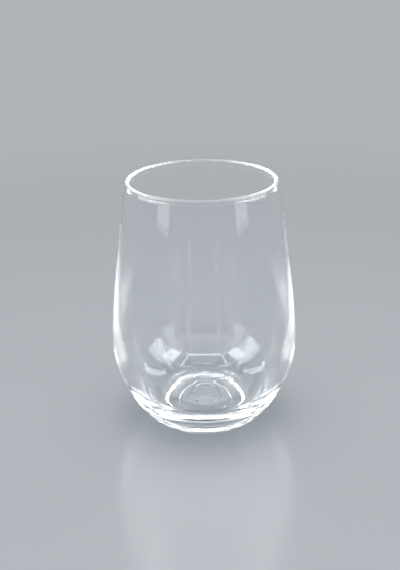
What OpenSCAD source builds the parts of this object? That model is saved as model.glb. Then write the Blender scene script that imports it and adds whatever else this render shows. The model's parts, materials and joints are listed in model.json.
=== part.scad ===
// Stemless wine glass: one thick-footed bowl of clear glass, drawn in towards the mouth.
// It stands upright on z = 0, with its axis on z. Every zone is turned from the same
// outside outline and the same inside outline, and the zones meet face to face.

/* [Outside] */
// Height from the table to the top of the rim
glass_h = 120; // [105:1:140]
// Outer diameter at the widest place of the bowl
belly_d = 88.3; // [80:0.1:98]
// Height of the widest place above the table
belly_h = 40.4; // [34:0.2:50]
// Outer diameter across the rounded rim
rim_d = 70.5; // [62:0.1:82]
// Angle by which the upper wall leans in at the rim
rim_lean = 9; // [4:0.5:14]

/* [Foot] */
// Outer diameter of the flat ring that the glass stands on
foot_d = 47.5; // [42:0.5:54]
// Width of that flat ring
foot_land_w = 2; // [1:0.1:4]
// Angle at which the outside leaves the table
foot_slope = 23; // [15:1:35]
// Depth of the hollow pressed into the underside, at its middle
kick_depth = 1.5; // [0.6:0.1:3]
// Width of the steep edge of that hollow
kick_edge_w = 2.3; // [1:0.1:4]
// Diameter of the flat middle of that hollow
kick_flat_d = 28; // [16:1:34]
// Rise from the top of the steep edge to the flat middle
kick_rise = 0.2; // [0.1:0.05:0.5]

/* [Inside] */
// Height of the inside floor above the table, at its middle
floor_h = 7.8; // [6:0.1:11]
// Diameter of the shallow dish that forms the floor
floor_d = 44; // [34:1:50]
// Rise of that dish from its middle to its edge
floor_rise = 1.2; // [0.4:0.1:2.4]
// Angle at which the inside leaves the edge of the floor
floor_slope = 24; // [14:1:36]
// Wall thickness at the widest place of the hollow, measured from the widest outside
belly_wall = 3.5; // [2:0.1:6]
// How much higher than the outside the hollow is widest
hollow_raise = 10.6; // [4:0.2:20]

/* [Upper wall and rim] */
// Thickness of the upper wall just below the rim, measured level
neck_wall = 2; // [1.2:0.1:3]
// Thickness of the rounded rim bead
bead_t = 2.2; // [1.4:0.1:3.4]
// Height of the rim zone, from the thin wall to the top
rim_zone_h = 3.6; // [3:0.1:6]

/* [Zones] */
// Height of the pressed base above the edge of its floor
base_lip_h = 3; // [1:0.1:6]

/* [Fineness] */
// Straight steps along each curve of the outlines
curve_steps = 24; // [12:1:48]
// Straight steps round each quarter of the rounded rim
bead_steps = 7; // [5:1:16]

/* [Hidden] */
$fn = 144;

// Reach of each curve's handles, as shares of the height that the curve covers
foot_pull_share = 0.16;
belly_low_share = 0.5;
belly_high_share = 0.27;
neck_pull_share = 0.11;
floor_pull_share = 0.23;
hollow_low_share = 0.69;
hollow_high_share = 0.24;
inner_neck_share = 0.2;
// Reach of the handles that round the rim bead into the wall
bead_blend_share = 0.45;
// Reach of the handles of the hollow underneath and of the dished floor
kick_foot_share = 0.37;
kick_top_share = 0.37;
kick_fall_share = 0.12;
kick_flat_share = 0.3;
dish_edge_share = 0.3;
dish_middle_share = 0.5;

// Tint of the clear glass, and how much of it shows
glass_tint = [0.84, 0.90, 0.93];
glass_show_share = 0.45;

belly_r = belly_d / 2;
foot_r = foot_d / 2;
land_r = foot_r - foot_land_w;
kick_edge_r = land_r - kick_edge_w;
kick_edge_h = kick_depth - kick_rise;
kick_flat_r = kick_flat_d / 2;
floor_r = floor_d / 2;
floor_edge_h = floor_h + floor_rise;
base_top_h = floor_edge_h + base_lip_h;
hollow_r = belly_r - belly_wall;
hollow_h = belly_h + hollow_raise;
bead_r = bead_t / 2;
neck_h = glass_h - rim_zone_h;

// The bead's centre, and where the leaning wall meets the bead outside and inside
bead_mid = [rim_d / 2 - bead_r, glass_h - bead_r];
bead_out = bead_mid + bead_r * along(rim_lean);
bead_in = bead_mid - bead_r * along(rim_lean);
// The ends of the upper wall, one level line below the rim zone
neck_out = [bead_out[0] + (bead_out[1] - neck_h) * tan(rim_lean), neck_h];
neck_in = [neck_out[0] - neck_wall, neck_h];

// A unit step at an angle above level, outwards
function along(angle) = [cos(angle), sin(angle)];
// A unit step up the leaning wall
function lean_up() = [-sin(rim_lean), cos(rim_lean)];

function mix(a, b, t) = a + (b - a) * t;
// The point at t on the smooth curve with end points and handles p
function curve(p, t) =
    let (
        a = mix(p[0], p[1], t),
        b = mix(p[1], p[2], t),
        c = mix(p[2], p[3], t)
    )
    mix(mix(a, b, t), mix(b, c, t), t);
// Points along that curve from one t to another
function stretch(p, from, to) =
    [for (i = [0 : curve_steps]) curve(p, mix(from, to, i / curve_steps))];
// The t at which a curve that climbs reaches a height, found by halving
function t_at(p, height, low = 0, high = 1, halvings = 40) =
    let (middle = (low + high) / 2)
    halvings == 0 ? middle :
    curve(p, middle)[1] < height
        ? t_at(p, height, middle, high, halvings - 1)
        : t_at(p, height, low, middle, halvings - 1);
// A list of points in the opposite order
function reversed(list) = [for (i = [len(list) - 1 : -1 : 0]) list[i]];

// Outside, from the foot up to the widest place
outer_low = [
    [foot_r, 0],
    [foot_r, 0] + foot_pull_share * belly_h * along(foot_slope),
    [belly_r, belly_h * (1 - belly_low_share)],
    [belly_r, belly_h]
];
// Outside, from the widest place up to the rim zone
outer_high = [
    [belly_r, belly_h],
    [belly_r, mix(belly_h, neck_h, belly_high_share)],
    neck_out - neck_pull_share * (neck_h - belly_h) * lean_up(),
    neck_out
];
// Inside, from the edge of the floor up to the widest place of the hollow
inner_low = [
    [floor_r, floor_edge_h],
    [floor_r, floor_edge_h] + floor_pull_share * (hollow_h - floor_edge_h) * along(floor_slope),
    [hollow_r, mix(hollow_h, floor_edge_h, hollow_low_share)],
    [hollow_r, hollow_h]
];
// Inside, from there up to the rim zone
inner_high = [
    [hollow_r, hollow_h],
    [hollow_r, mix(hollow_h, neck_h, hollow_high_share)],
    neck_in - inner_neck_share * (neck_h - hollow_h) * lean_up(),
    neck_in
];
// The round of the bead, on from one direction to another, both seen from its middle
function bead_round(from, to) =
    [for (i = [1 : bead_steps]) bead_mid + bead_r * along(mix(from, to, i / bead_steps))];
// Inside of the rim, where the thin wall swells into the bead
bead_swell = [
    neck_in,
    neck_in + bead_blend_share * rim_zone_h * lean_up(),
    bead_in - bead_blend_share * rim_zone_h * lean_up(),
    bead_in
];
// Underside, from the resting ring up the steep edge of the hollow pressed there
kick_edge = [
    [land_r, 0],
    [mix(land_r, kick_edge_r, kick_foot_share), 0],
    [mix(kick_edge_r, land_r, kick_top_share), kick_edge_h * (1 - kick_fall_share)],
    [kick_edge_r, kick_edge_h]
];
// Underside, from there over the shallow crown to its flat middle
kick_crown = [
    [kick_edge_r, kick_edge_h],
    [
        mix(kick_edge_r, kick_flat_r, kick_flat_share),
        mix(kick_edge_h, kick_depth, kick_flat_share)
    ],
    [mix(kick_flat_r, kick_edge_r, kick_flat_share), kick_depth],
    [kick_flat_r, kick_depth]
];
// The dished floor, from its middle out to its edge
dish = [
    [0, floor_h],
    [floor_r * dish_middle_share, floor_h],
    [floor_r * (1 - dish_edge_share), mix(floor_h, floor_edge_h, dish_edge_share)],
    [floor_r, floor_edge_h]
];

// Where each zone's cut crosses the outlines
outer_base_t = t_at(outer_low, base_top_h);
inner_base_t = t_at(inner_low, base_top_h);
inner_belly_t = t_at(inner_low, belly_h);

module clear_glass() {
    color(glass_tint, glass_show_share)
        rotate_extrude()
            children();
}

// The pressed foot: resting ring, hollow underside and thick dished floor
module base() {
    clear_glass()
        polygon(concat(
            [[0, kick_depth]],
            reversed(stretch(kick_crown, 0, 1)),
            [for (i = [curve_steps - 1 : -1 : 0]) curve(kick_edge, i / curve_steps)],
            stretch(outer_low, 0, outer_base_t),
            reversed(stretch(inner_low, 0, inner_base_t)),
            [for (i = [curve_steps - 1 : -1 : 0]) curve(dish, i / curve_steps)]
        ));
}

// The thick lower ring of the bowl, from the base up to the widest place
module heel() {
    clear_glass()
        polygon(concat(
            stretch(outer_low, outer_base_t, 1),
            reversed(stretch(inner_low, inner_base_t, inner_belly_t))
        ));
}

// The thin blown wall above the widest place
module wall() {
    clear_glass()
        polygon(concat(
            stretch(outer_high, 0, 1),
            reversed(stretch(inner_high, 0, 1)),
            [for (i = [curve_steps - 1 : -1 : 0]) curve(inner_low, mix(inner_belly_t, 1, i / curve_steps))]
        ));
}

// The fire-polished rim: a short swelling that ends in a round bead
module rim() {
    clear_glass()
        polygon(concat(
            [neck_out, bead_out],
            bead_round(rim_lean, 90),
            bead_round(90, 180 + rim_lean),
            [for (i = [curve_steps - 1 : -1 : 0]) curve(bead_swell, i / curve_steps)]
        ));
}

base();
heel();
wall();
rim();
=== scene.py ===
import json
import math

import bmesh
import bpy
from mathutils import Matrix, Vector


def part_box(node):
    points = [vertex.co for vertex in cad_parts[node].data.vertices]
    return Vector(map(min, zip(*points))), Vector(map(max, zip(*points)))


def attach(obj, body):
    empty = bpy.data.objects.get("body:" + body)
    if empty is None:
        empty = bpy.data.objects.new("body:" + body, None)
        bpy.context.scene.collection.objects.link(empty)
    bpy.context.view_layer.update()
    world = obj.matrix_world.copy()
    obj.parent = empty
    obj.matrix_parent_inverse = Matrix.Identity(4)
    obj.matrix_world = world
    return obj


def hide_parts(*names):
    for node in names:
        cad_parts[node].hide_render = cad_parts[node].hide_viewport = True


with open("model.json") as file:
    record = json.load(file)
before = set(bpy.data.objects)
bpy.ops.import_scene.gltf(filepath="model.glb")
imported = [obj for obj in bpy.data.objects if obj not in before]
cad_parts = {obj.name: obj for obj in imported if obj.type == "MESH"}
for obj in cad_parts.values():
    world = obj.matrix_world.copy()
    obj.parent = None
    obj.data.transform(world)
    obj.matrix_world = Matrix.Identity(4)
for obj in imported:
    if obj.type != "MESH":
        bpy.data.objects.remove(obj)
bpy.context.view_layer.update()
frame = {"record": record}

# The camera stands in front of the glass and looks down into it, as from a chair at the table.
# Its place and lens were fitted to the outline of the glass in the picture, so they are given
# in heights of the glass and in pixels of a picture 570 pixels high.
glass_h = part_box("rim")[1].z
camera_away = 3.714 * glass_h
camera_up = 2.054 * glass_h
camera_aside = -0.0135 * glass_h
camera_pitch = math.radians(21.88)
camera_roll = math.radians(-1.0)
focal_px = 1006.8
picture_px = 570
sensor_mm = 36

camera_data = bpy.data.cameras.new("camera")
camera_data.sensor_fit = "VERTICAL"
camera_data.sensor_height = sensor_mm
camera_data.lens = focal_px * sensor_mm / picture_px
camera = bpy.data.objects.new("camera", camera_data)
camera.location = (camera_aside, -camera_away, camera_up)
level_to_pitch = Matrix.Rotation(math.radians(90) - camera_pitch, 4, "X")
camera.rotation_euler = (level_to_pitch @ Matrix.Rotation(camera_roll, 4, "Z")).to_euler()
bpy.context.scene.collection.objects.link(camera)
bpy.context.scene.camera = camera

# The glass is one seamless body. Its thick foot is pressed, and the plate below and the plunger
# above each leave a faint ring. The bowl is blown in a turning mould, which leaves fine level
# lines, and the mouth is cut off hot and melted to a round bead.
inside_cad = 0.00002
belly_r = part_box("heel")[1].x - inside_cad
belly_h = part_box("heel")[1].z
neck_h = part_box("rim")[0].z
ring_mid_r = frame["record"]["mounts"][0]["pos_m"][0]
ring_w = 0.002
foot_r = ring_mid_r + ring_w / 2
land_r = ring_mid_r - ring_w / 2
foot_slope = math.radians(23)
foot_edge_size = 0.0004
kick_depth = 0.0015
kick_edge_w = 0.0023
kick_rise = 0.0002
mark_w = 0.0007
mark_height = 0.00016
plate_mark_r = 0.014
plunger_mark_r = 0.0075
rim_r = 0.03525
rim_lean = math.radians(9)
bead_r = 0.0011
neck_wall = 0.002
belly_wall = 0.0035
hollow_raise = 0.0106
hollow_r = belly_r - belly_wall
hollow_h = belly_h + hollow_raise
floor_h = 0.0078
floor_rise = 0.0012
floor_edge_h = floor_h + floor_rise
floor_r = 0.022
floor_slope = math.radians(24)
floor_crease_size = 0.0008

# How far the handles of each curve reach, as shares of the height or width that it covers
foot_pull = 0.16
land_pull = 0.3
belly_low_pull = 0.5
belly_high_pull = 0.27
neck_pull = 0.11
rim_pull = 0.3
inner_neck_pull = 0.2
bead_pull = 0.45
hollow_high_pull = 0.24
hollow_low_pull = 0.69
floor_pull = 0.23
kick_edge_pull = 0.37
kick_edge_climb = 0.88
kick_crown_pull = 0.3
dish_edge_pull = 0.3
dish_flat_share = 0.6
mark_pull = 0.5
middle_pull = 0.4
corner_pull = 0.55


# The outline lies upright: a distance from the axis, and a height
def spot(r, z):
    return Vector((r, 0, z))


def towards(angle):
    return spot(math.cos(angle), math.sin(angle))


up_the_wall = spot(-math.sin(rim_lean), math.cos(rim_lean))
bead_mid = spot(rim_r - bead_r, glass_h - bead_r)
bead_out = bead_mid + bead_r * towards(rim_lean)
bead_in = bead_mid - bead_r * towards(rim_lean)
neck_out = bead_out - up_the_wall * (bead_out.z - neck_h) / up_the_wall.z
neck_in = neck_out - spot(neck_wall, 0)


# Each point of the outline is its place, its handle before and its handle after. A rounded
# corner has two: where the round starts on one side and where it ends on the other.
def rounded(corner, before, after, size, far_before, far_after):
    start = corner + (before - corner).normalized() * size
    end = corner + (after - corner).normalized() * size
    return [
        (start, far_before, start.lerp(corner, corner_pull)),
        (end, end.lerp(corner, corner_pull), far_after),
    ]


# A ring mark is a low ridge under the foot and a shallow groove in the floor, with three points
def ring_mark(r, level, half_w, far_before, far_after):
    near = half_w * mark_pull
    bottom = level - mark_height
    return [
        (spot(r - half_w, level), far_before, spot(r - near, level)),
        (spot(r, bottom), spot(r - near, bottom), spot(r + near, bottom)),
        (spot(r + half_w, level), spot(r + near, level), far_after),
    ]


# A point on the bead's circle, with handles that carry the circle on to its neighbours
def on_bead(angle, turn_before, turn_after):
    point = bead_mid + bead_r * towards(angle)
    ahead = towards(angle + math.pi / 2) * bead_r * 4 / 3
    before = point - ahead * math.tan(turn_before / 4)
    after = point + ahead * math.tan(turn_after / 4)
    return (point, before, after)


kick_edge = spot(land_r - kick_edge_w, kick_depth - kick_rise)
kick_crown_end = spot(kick_edge.x, kick_depth)
mark_end = spot(plate_mark_r + mark_w, kick_depth)
underside = [
    (spot(0, kick_depth), spot(0, kick_depth), spot(plate_mark_r * middle_pull, kick_depth)),
    *ring_mark(
        plate_mark_r,
        kick_depth,
        mark_w,
        spot(plate_mark_r - mark_w * (1 + mark_pull), kick_depth),
        mark_end.lerp(kick_crown_end, kick_crown_pull),
    ),
    (
        kick_edge,
        kick_edge.lerp(mark_end, kick_crown_pull),
        spot(kick_edge.x + kick_edge_w * kick_edge_pull, kick_edge.z * kick_edge_climb),
    ),
    (
        spot(land_r, 0),
        spot(land_r - kick_edge_w * kick_edge_pull, 0),
        spot(land_r + ring_w * land_pull, 0),
    ),
]
foot_corner = spot(foot_r, 0)
foot_handle = foot_corner + belly_h * foot_pull * towards(foot_slope)
foot_edge = rounded(
    foot_corner,
    spot(land_r, 0),
    foot_handle,
    foot_edge_size,
    spot(ring_mid_r, 0),
    foot_handle,
)
outside = [
    foot_edge[1],
    (
        spot(belly_r, belly_h),
        spot(belly_r, belly_h * belly_low_pull),
        spot(belly_r, belly_h + (neck_h - belly_h) * belly_high_pull),
    ),
    (
        neck_out,
        neck_out - up_the_wall * (neck_h - belly_h) * neck_pull,
        neck_out.lerp(bead_out, rim_pull),
    ),
]
quarter_out = math.pi / 2 - rim_lean
quarter_in = math.pi / 2 + rim_lean
swell = up_the_wall * (glass_h - neck_h) * bead_pull
edge = [
    outside[-1],
    on_bead(rim_lean, 0, quarter_out),
    on_bead(math.pi / 2, quarter_out, quarter_in),
    (bead_in, on_bead(math.pi + rim_lean, quarter_in, 0)[1], bead_in - swell),
    (neck_in, neck_in + swell, neck_in - up_the_wall * (neck_h - hollow_h) * inner_neck_pull),
]
floor_corner = spot(floor_r, floor_edge_h)
heel_handle = floor_corner + (hollow_h - floor_edge_h) * floor_pull * towards(floor_slope)
dish_handle = spot(
    floor_r * (1 - dish_edge_pull),
    floor_h + (floor_edge_h - floor_h) * dish_edge_pull,
)
inside = [
    edge[-1],
    (
        spot(hollow_r, hollow_h),
        spot(hollow_r, hollow_h + (neck_h - hollow_h) * hollow_high_pull),
        spot(hollow_r, hollow_h + (floor_edge_h - hollow_h) * hollow_low_pull),
    ),
    *rounded(
        floor_corner,
        heel_handle,
        dish_handle,
        floor_crease_size,
        heel_handle,
        dish_handle,
    ),
    *ring_mark(
        plunger_mark_r,
        floor_h,
        -mark_w,
        spot(floor_r * dish_flat_share, floor_h),
        spot(plunger_mark_r - mark_w * (1 + mark_pull), floor_h),
    ),
    (spot(0, floor_h), spot(plunger_mark_r * middle_pull, floor_h), spot(0, floor_h)),
]

# The half outline runs from under the foot, up the outside and over the rim, down to the middle
# of the floor. It is drawn as four runs, each with its own fineness and with how deep the mould
# lines are at its points, which is kept as the points' radius.
plain = (0,) * 8
foot_fineness = 9
bowl_fineness = 190
rim_fineness = 9
inside_fineness = 14
outline_data = bpy.data.curves.new("half outline", "CURVE")
outline_data.dimensions = "3D"
for points, fineness, line_depths in (
    (underside + foot_edge, foot_fineness, plain),
    (outside, bowl_fineness, (0.4, 1.0, 0)),
    (edge, rim_fineness, plain),
    (inside, inside_fineness, plain),
):
    run = outline_data.splines.new("BEZIER")
    run.resolution_u = fineness
    run.bezier_points.add(len(points) - 1)
    for knot, (point, before, after), line_depth in zip(run.bezier_points, points, line_depths):
        knot.handle_left_type = "FREE"
        knot.handle_right_type = "FREE"
        knot.co = point
        knot.handle_left = before
        knot.handle_right = after
        knot.radius = line_depth
outline = bpy.data.objects.new("half outline", outline_data)
bpy.context.scene.collection.objects.link(outline)

# Turning the outline: a net of rings and sides is laid out, each ring takes its place from
# one point of the outline, and the seam and both poles are merged shut. The mould lines and
# the slight waves of blown glass are then pressed in, never out.
turning = bpy.data.node_groups.new("turn the outline", "GeometryNodeTree")
turning_inputs = {}
for label, kind in (
    ("Outline", "NodeSocketObject"),
    ("Sides", "NodeSocketInt"),
    ("Line depth", "NodeSocketFloat"),
    ("Line spacing", "NodeSocketFloat"),
    ("Wave depth", "NodeSocketFloat"),
    ("Wave length", "NodeSocketFloat"),
    ("Glass", "NodeSocketMaterial"),
):
    turning_inputs[label] = turning.interface.new_socket(label, in_out="INPUT", socket_type=kind)
turning.interface.new_socket("Geometry", in_out="OUTPUT", socket_type="NodeSocketGeometry")
given = turning.nodes.new("NodeGroupInput").outputs


# A node of the given kind in a tree, with its settings and with links or values on its inputs.
# An input goes by its name, or as n0, n1 and so on by its number.
def add(tree, kind, settings=None, **wanted):
    node = tree.nodes.new(kind)
    for setting, value in (settings or {}).items():
        setattr(node, setting, value)
    for key, value in wanted.items():
        numbered = key[0] == "n" and key[1:].isdigit()
        socket = node.inputs[int(key[1:]) if numbered else key.replace("_", " ")]
        if isinstance(value, bpy.types.NodeSocket):
            tree.links.new(value, socket)
        else:
            socket.default_value = value
    return node


def worked_out(tree, operation, first, second=0.0):
    return add(tree, "ShaderNodeMath", {"operation": operation}, n0=first, n1=second).outputs[0]


def height_of(tree, point):
    return add(tree, "ShaderNodeSeparateXYZ", Vector=point).outputs["Z"]


drawn = add(turning, "GeometryNodeObjectInfo", Object=given["Outline"]).outputs["Geometry"]
drawn = add(
    turning, "GeometryNodeResampleCurve", {"mode": "EVALUATED"}, Curve=drawn
).outputs["Curve"]
rings = add(
    turning, "GeometryNodeAttributeDomainSize", {"component": "CURVE"}, Geometry=drawn
).outputs["Point Count"]
columns = worked_out(turning, "ADD", given["Sides"], 1.0)
net = add(turning, "GeometryNodeMeshGrid", Vertices_X=rings, Vertices_Y=columns).outputs["Mesh"]
number = turning.nodes.new("GeometryNodeInputIndex").outputs[0]
ring = worked_out(turning, "FLOOR", worked_out(turning, "DIVIDE", number, columns))
ring_start = worked_out(turning, "MULTIPLY", ring, columns)
column = worked_out(turning, "SUBTRACT", number, ring_start)
column_turn = worked_out(turning, "MULTIPLY", column, 2 * math.pi)
turn = worked_out(turning, "DIVIDE", column_turn, given["Sides"])


def of_ring(kind, value):
    sample = add(turning, "GeometryNodeSampleIndex", {"data_type": kind, "domain": "POINT"})
    turning.links.new(drawn, sample.inputs["Geometry"])
    turning.links.new(value, sample.inputs["Value"])
    turning.links.new(ring, sample.inputs["Index"])
    return sample.outputs["Value"]


ring_place = of_ring("FLOAT_VECTOR", turning.nodes.new("GeometryNodeInputPosition").outputs[0])
ring_lines = of_ring("FLOAT", turning.nodes.new("GeometryNodeInputRadius").outputs[0])
way_up = of_ring("FLOAT", turning.nodes.new("GeometryNodeSplineParameter").outputs["Length"])
ring_at = add(turning, "ShaderNodeSeparateXYZ", Vector=ring_place).outputs
turned = add(
    turning,
    "ShaderNodeCombineXYZ",
    X=worked_out(turning, "MULTIPLY", ring_at["X"], worked_out(turning, "COSINE", turn)),
    Y=worked_out(turning, "MULTIPLY", ring_at["X"], worked_out(turning, "SINE", turn)),
    Z=ring_at["Z"],
).outputs[0]
kept = turning.nodes.new("GeometryNodeCaptureAttribute")
kept.capture_items.new("FLOAT", "Line depth")
kept.capture_items.new("FLOAT", "Way up")
turning.links.new(net, kept.inputs["Geometry"])
turning.links.new(ring_lines, kept.inputs["Line depth"])
turning.links.new(way_up, kept.inputs["Way up"])
body = kept.outputs["Geometry"]
body = add(
    turning, "GeometryNodeSetPosition", Geometry=body, Position=turned
).outputs["Geometry"]
merge_within = 0.000001
body = add(
    turning, "GeometryNodeMergeByDistance", Geometry=body, Distance=merge_within
).outputs["Geometry"]
body = add(turning, "GeometryNodeFlipFaces", Mesh=body).outputs["Mesh"]

# The mould lines follow the way up the outline. Their spacing wanders a little, and they come
# and go round the bowl, as the mould's wet wall leaves them.
wander_scale = 0.31
wander_in_lines = 2.6
fade_scale = 55.0
here = turning.nodes.new("GeometryNodeInputPosition").outputs[0]
steps = worked_out(turning, "DIVIDE", kept.outputs["Way up"], given["Line spacing"])
wander = add(
    turning,
    "ShaderNodeTexNoise",
    {"noise_dimensions": "1D"},
    W=steps,
    Scale=wander_scale,
    Detail=1.0,
).outputs[0]
wander = worked_out(turning, "MULTIPLY", wander, wander_in_lines)
phase = worked_out(turning, "ADD", steps, wander)
lines = worked_out(turning, "SINE", worked_out(turning, "MULTIPLY", phase, 2 * math.pi))
fade = add(
    turning, "ShaderNodeTexNoise", Vector=here, Scale=fade_scale, Detail=1.0
).outputs[0]
lines = worked_out(turning, "MULTIPLY", worked_out(turning, "SUBTRACT", lines, 1.0), fade)
lines = worked_out(turning, "MULTIPLY", lines, kept.outputs["Line depth"])
lines = worked_out(turning, "MULTIPLY", lines, given["Line depth"])

# The waves fade out below the rim, so that the mouth stays round
calm_below_neck = 0.02
wave_scale = worked_out(turning, "DIVIDE", 1.0, given["Wave length"])
waves = add(
    turning, "ShaderNodeTexNoise", Vector=here, Scale=wave_scale, Detail=0.0
).outputs[0]
waves = worked_out(turning, "MULTIPLY", waves, given["Wave depth"])
below_rim = add(
    turning,
    "ShaderNodeMapRange",
    {"interpolation_type": "SMOOTHSTEP"},
    Value=height_of(turning, here),
    From_Min=neck_h - calm_below_neck,
    From_Max=neck_h,
    To_Min=1.0,
    To_Max=0.0,
).outputs[0]
waves = worked_out(turning, "MULTIPLY", waves, below_rim)
press = worked_out(turning, "SUBTRACT", lines, waves)
outwards = turning.nodes.new("GeometryNodeInputNormal").outputs[0]
pressed = add(
    turning, "ShaderNodeVectorMath", {"operation": "SCALE"}, n0=outwards, Scale=press
).outputs[0]
body = add(
    turning, "GeometryNodeSetPosition", Geometry=body, Offset=pressed
).outputs["Geometry"]
body = add(turning, "GeometryNodeSetShadeSmooth", Geometry=body).outputs["Geometry"]
body = add(turning, "GeometryNodeRealizeInstances", Geometry=body).outputs["Geometry"]
body = add(
    turning, "GeometryNodeSetMaterial", Geometry=body, Material=given["Glass"]
).outputs["Geometry"]
turning.links.new(body, turning.nodes.new("NodeGroupOutput").inputs[0])

# Clear glass with a breath of cool green-blue. Drying marks and the film that a cloth leaves
# dull its polish here and there, and washing has turned the crown of the rim a little satin.
# Most of a lamp's light passes on to the table.
film_scale = 38.0
film_from = 0.52
film_to = 0.72
film_matt = 0.03
crown_h = 0.0012
crown_full_h = 0.0004
crown_matt = 0.4
clear_glass = bpy.data.materials.new("clear glass")
clear_glass.use_nodes = True
glass_nodes = clear_glass.node_tree
gloss = glass_nodes.nodes["Principled BSDF"]
gloss.inputs["Base Color"].default_value = (0.985, 0.995, 1.0, 1)
gloss.inputs["IOR"].default_value = 1.52
gloss.inputs["Transmission Weight"].default_value = 1.0
where = add(glass_nodes, "ShaderNodeTexCoord").outputs["Object"]
film = add(
    glass_nodes, "ShaderNodeTexNoise", Vector=where, Scale=film_scale, Detail=3.0
).outputs[0]
film = add(
    glass_nodes,
    "ShaderNodeMapRange",
    Value=film,
    From_Min=film_from,
    From_Max=film_to,
    To_Min=0.0,
    To_Max=film_matt,
).outputs[0]
crown = add(
    glass_nodes,
    "ShaderNodeMapRange",
    {"interpolation_type": "SMOOTHSTEP"},
    Value=height_of(glass_nodes, where),
    From_Min=glass_h - crown_h,
    From_Max=glass_h - crown_full_h,
    To_Min=0.0,
    To_Max=crown_matt,
).outputs[0]
dulled = worked_out(glass_nodes, "MAXIMUM", film, crown)
glass_nodes.links.new(dulled, gloss.inputs["Roughness"])
through = add(
    glass_nodes, "ShaderNodeBsdfTransparent", Color=(0.86, 0.875, 0.885, 1)
).outputs[0]
lamp_ray = add(glass_nodes, "ShaderNodeLightPath").outputs["Is Shadow Ray"]
passing = add(
    glass_nodes, "ShaderNodeMixShader", n0=lamp_ray, n1=gloss.outputs[0], n2=through
).outputs[0]
glass_nodes.links.new(passing, glass_nodes.nodes["Material Output"].inputs["Surface"])

blank = bpy.data.objects.new("turned glass", bpy.data.meshes.new("turned glass"))
bpy.context.scene.collection.objects.link(blank)
modifier = blank.modifiers.new("turning", "NODES")
modifier.node_group = turning
for label, value in (
    ("Outline", outline),
    ("Sides", 168),
    ("Line depth", 0.00001),
    ("Line spacing", 0.0017),
    ("Wave depth", 0.000015),
    ("Wave length", 0.03),
    ("Glass", clear_glass),
):
    modifier[turning_inputs[label].identifier] = value
ready = blank.evaluated_get(bpy.context.evaluated_depsgraph_get())
glass = bpy.data.objects.new("glass_body", bpy.data.meshes.new_from_object(ready))
bpy.context.scene.collection.objects.link(glass)
bpy.data.objects.remove(blank)
bpy.data.objects.remove(outline)
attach(glass, "root")
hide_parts("base", "heel", "wall", "rim")

# The table top is a round sheet of pale satin acrylic, larger than the picture. Towards its
# edge it gives way to the pale surround, so that no horizon shows from any side. It lies a
# hair below the foot, so that the two don't share a face.
table_r = 2.5
table_sides = 96
table_drop = 0.00002
table_fade_from = 0.15
table_fade_to = 0.6
table_mesh = bpy.data.meshes.new("table top")
shaping = bmesh.new()
bmesh.ops.create_circle(shaping, cap_ends=True, segments=table_sides, radius=table_r)
shaping.to_mesh(table_mesh)
shaping.free()
table = bpy.data.objects.new("table_top", table_mesh)
table.location.z = -table_drop
bpy.context.scene.collection.objects.link(table)
acrylic = bpy.data.materials.new("pale acrylic")
acrylic.use_nodes = True
acrylic_nodes = acrylic.node_tree
sheet = acrylic_nodes.nodes["Principled BSDF"]
sheet.inputs["Base Color"].default_value = (0.415, 0.43, 0.45, 1)
sheet.inputs["Roughness"].default_value = 0.2
sheet.inputs["Specular IOR Level"].default_value = 0.2
table_at = add(acrylic_nodes, "ShaderNodeTexCoord").outputs["Object"]
table_away = add(
    acrylic_nodes, "ShaderNodeVectorMath", {"operation": "LENGTH"}, n0=table_at
).outputs["Value"]
fading = add(
    acrylic_nodes,
    "ShaderNodeMapRange",
    {"interpolation_type": "SMOOTHSTEP"},
    Value=table_away,
    From_Min=table_fade_from,
    From_Max=table_fade_to,
).outputs[0]
gone = add(acrylic_nodes, "ShaderNodeBsdfTransparent").outputs[0]
faded = add(
    acrylic_nodes, "ShaderNodeMixShader", n0=fading, n1=sheet.outputs[0], n2=gone
).outputs[0]
acrylic_nodes.links.new(faded, acrylic_nodes.nodes["Material Output"].inputs["Surface"])
table_mesh.materials.append(acrylic)

# The surround is pale up to the table's far edge and darker above, as in a room where soft
# boxes do the lighting. The dark part draws the edges of clear glass.
pale_up_to = 0.05
dark_from = 0.2
surround = bpy.data.worlds.new("surround")
bpy.context.scene.world = surround
surround.use_nodes = True
surround_nodes = surround.node_tree
looking = add(surround_nodes, "ShaderNodeTexCoord").outputs["Generated"]
looking_up = height_of(surround_nodes, looking)
shade = add(surround_nodes, "ShaderNodeValToRGB", Fac=looking_up)
shade.color_ramp.elements[0].position = pale_up_to
shade.color_ramp.elements[0].color = (0.432, 0.45, 0.472, 1)
shade.color_ramp.elements[1].position = dark_from
shade.color_ramp.elements[1].color = (0.077, 0.08, 0.084, 1)
surround_nodes.links.new(shade.outputs[0], surround_nodes.nodes["Background"].inputs["Color"])

# Soft boxes, each turned to the glass: large ones at the sides with bright cores and narrower
# edge and front boxes, a wide panel high behind, one in front, and a small one overhead in a
# square of strips. They are screened from the table, which a ceiling lamp lights alone.
lamp_colour = (0.96, 0.98, 1.0)
aim = Vector((0, 0, belly_h))
on_glass = bpy.data.collections.new("lit by the soft boxes")
on_glass.objects.link(glass)
on_table = bpy.data.collections.new("lit by the ceiling lamp")
on_table.objects.link(table)


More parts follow.
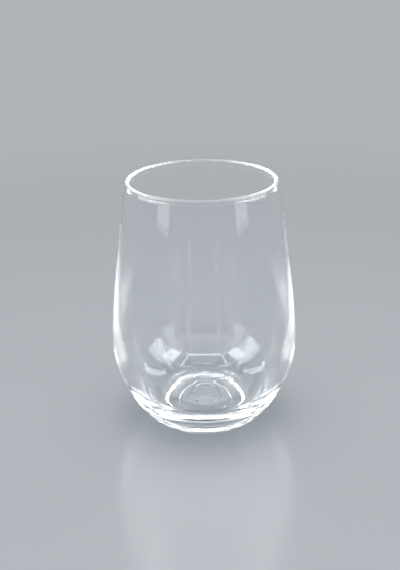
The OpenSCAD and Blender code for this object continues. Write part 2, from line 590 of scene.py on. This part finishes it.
def soft_box(title, centre, width, height, brightness, lights):
    lamp_data = bpy.data.lights.new(title, "AREA")
    lamp_data.shape = "RECTANGLE"
    lamp_data.size = width
    lamp_data.size_y = height
    lamp_data.energy = brightness * math.pi * width * height
    lamp_data.color = lamp_colour
    lamp = bpy.data.objects.new(title, lamp_data)
    lamp.location = centre
    lamp.rotation_euler = (Vector(centre) - aim).to_track_quat("Z", "Y").to_euler()
    lamp.visible_camera = False
    lamp.light_linking.receiver_collection = lights
    bpy.context.scene.collection.objects.link(lamp)
    return lamp


for hand, sign in (("left", -1), ("right", 1)):
    soft_box(hand + "_box", (sign * 0.7, 0, 0.44), 0.57, 0.76, 4.5, on_glass)
    soft_box(hand + "_core", (sign * 0.6, -0.12, 0.6), 0.4, 0.3, 7.0, on_glass)
    soft_box(hand + "_edge", (sign * 0.5, 0.55, 0.3), 0.14, 0.6, 6.0, on_glass)
    soft_box(hand + "_front", (sign * 0.66, -0.44, 0.36), 0.3, 0.7, 1.4, on_glass)
    soft_box(hand + "_strip", (sign * 0.35, 0, 0.9), 0.54, 0.06, 9.0, on_glass)
soft_box("back_panel", (0, 0.9, 0.68), 1.5, 0.4, 1.8, on_glass)
soft_box("front_panel", (0, -1.1, 0.5), 2.0, 0.35, 1.0, on_glass)
soft_box("back_strip", (0, 0.3, 0.9), 0.7, 0.06, 9.0, on_glass)
soft_box("front_strip", (0, -0.3, 0.9), 0.7, 0.06, 9.0, on_glass)
soft_box("overhead", (0, 0, 1.0), 0.5, 0.4, 0.8, on_glass)
ceiling = soft_box("ceiling", (0, 0, 1.6), 1.2, 1.2, 7.4, on_table)
ceiling.visible_glossy = False
ceiling.visible_transmission = False

# Light crosses a thick foot and two walls many times before it leaves clear glass, so rays may
# bounce often. Caustics stay off, because the glass lets the lamps' light through by itself.
most_bounces = 64
bpy.context.scene.cycles.max_bounces = most_bounces
bpy.context.scene.cycles.transmission_bounces = most_bounces
bpy.context.scene.cycles.glossy_bounces = most_bounces
bpy.context.scene.cycles.caustics_reflective = False
bpy.context.scene.cycles.caustics_refractive = False
bpy.context.scene.view_settings.view_transform = "Standard"
